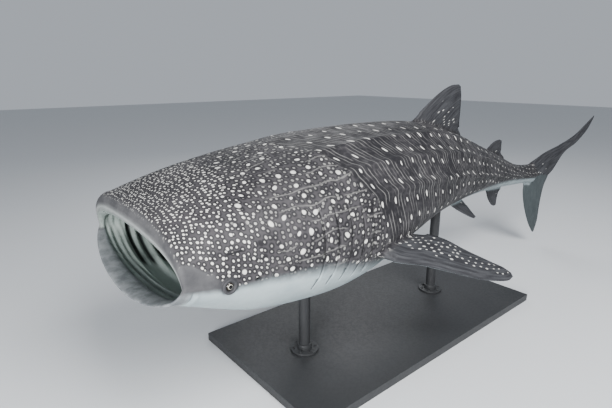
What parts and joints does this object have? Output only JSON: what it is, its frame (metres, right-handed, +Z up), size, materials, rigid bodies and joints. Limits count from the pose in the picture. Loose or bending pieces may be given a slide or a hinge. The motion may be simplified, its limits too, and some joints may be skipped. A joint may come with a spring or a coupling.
{
  "type": "whale shark model",
  "caption": "Life-size whale shark swimming with its wide mouth open, ridged back and spotted skin, long pectoral fins and a tall tail, held by rods over a flat base.",
  "frame": {"origin": "middle of the whole model's outline seen from above, on the floor under the base", "axes": "+X from the snout to the tail, +Y to the animal's right side, +Z up"},
  "size_m": [6.054, 1.9686, 1.9432],
  "materials": {
    "skin": "satin",
    "fin_skin": "satin",
    "eye": "gloss",
    "stand": "satin"
  },
  "bodies": {
    "root": {"head": "skin", "lower_jaw": "skin", "gill_region": "skin", "trunk": "skin", "tail_base": "skin", "tail_stalk": "skin", "first_dorsal_fin": "fin_skin", "second_dorsal_fin": "fin_skin", "anal_fin": "fin_skin", "caudal_upper_lobe": "fin_skin", "caudal_lower_lobe": "fin_skin", "pectoral_fin_left": "fin_skin", "pectoral_fin_right": "fin_skin", "pelvic_fin_left": "fin_skin", "pelvic_fin_right": "fin_skin", "eye_left": "eye", "eye_right": "eye", "stand_base": "stand", "stand_rod_front": "stand", "stand_rod_rear": "stand"}
  },
  "joints": []
}
